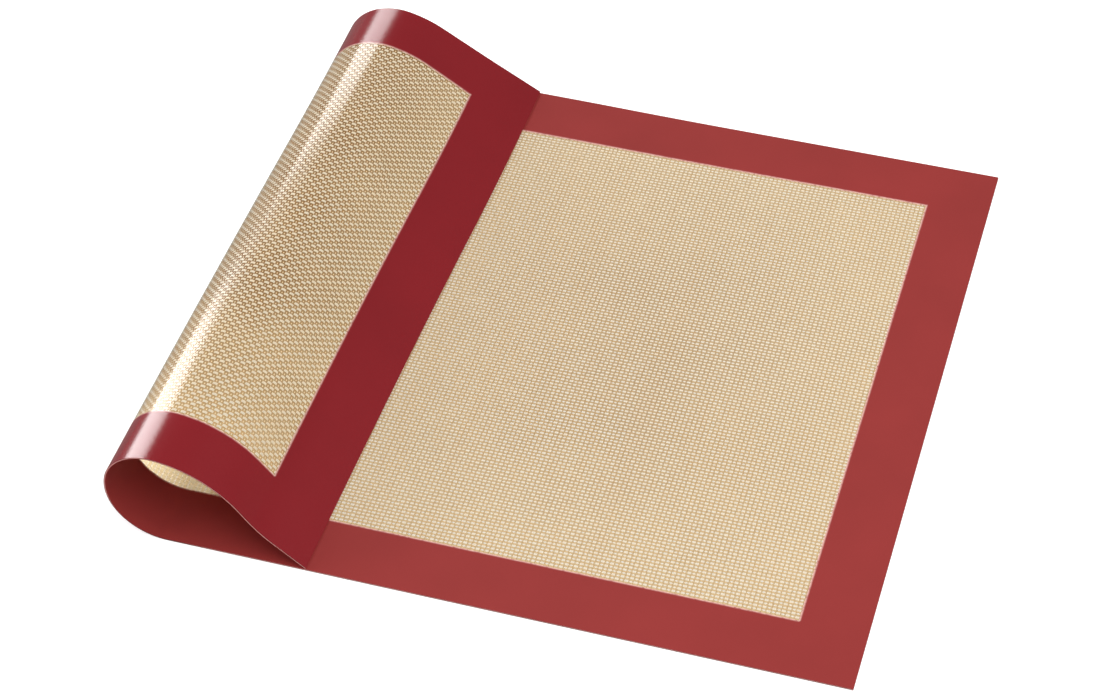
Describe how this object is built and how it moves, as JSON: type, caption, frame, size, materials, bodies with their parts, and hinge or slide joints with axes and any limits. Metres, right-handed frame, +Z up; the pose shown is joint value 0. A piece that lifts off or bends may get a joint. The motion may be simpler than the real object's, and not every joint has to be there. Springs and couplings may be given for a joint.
{
  "type": "silicone baking mat",
  "caption": "Silicone baking mat with a woven glass-fibre core, clear window and red border, one end rolled back over itself in a loose loop.",
  "frame": {"origin": "on the table, under the middle of the mat's outline as it lies with one end rolled", "axes": "+X from the rolled end towards the plain end, +Y across the mat from the front edge to the back edge, +Z up"},
  "size_m": [0.302, 0.3, 0.0451],
  "materials": {
    "glass_weave": "plain weave of glass yarn, soaked in silicone",
    "clear_silicone_upper": "thin, cloudy, satin",
    "clear_silicone_under": "thin, cloudy, glossy over the weave",
    "red_silicone_upper": "smooth, satin",
    "red_silicone_under": "glossy, with the weave faintly printed through"
  },
  "bodies": {
    "root": {"glass_cloth": "glass_weave", "upper_clear_coat": "clear_silicone_upper", "under_clear_coat": "clear_silicone_under", "upper_red_border": "red_silicone_upper", "under_red_border": "red_silicone_under"}
  },
  "joints": []
}
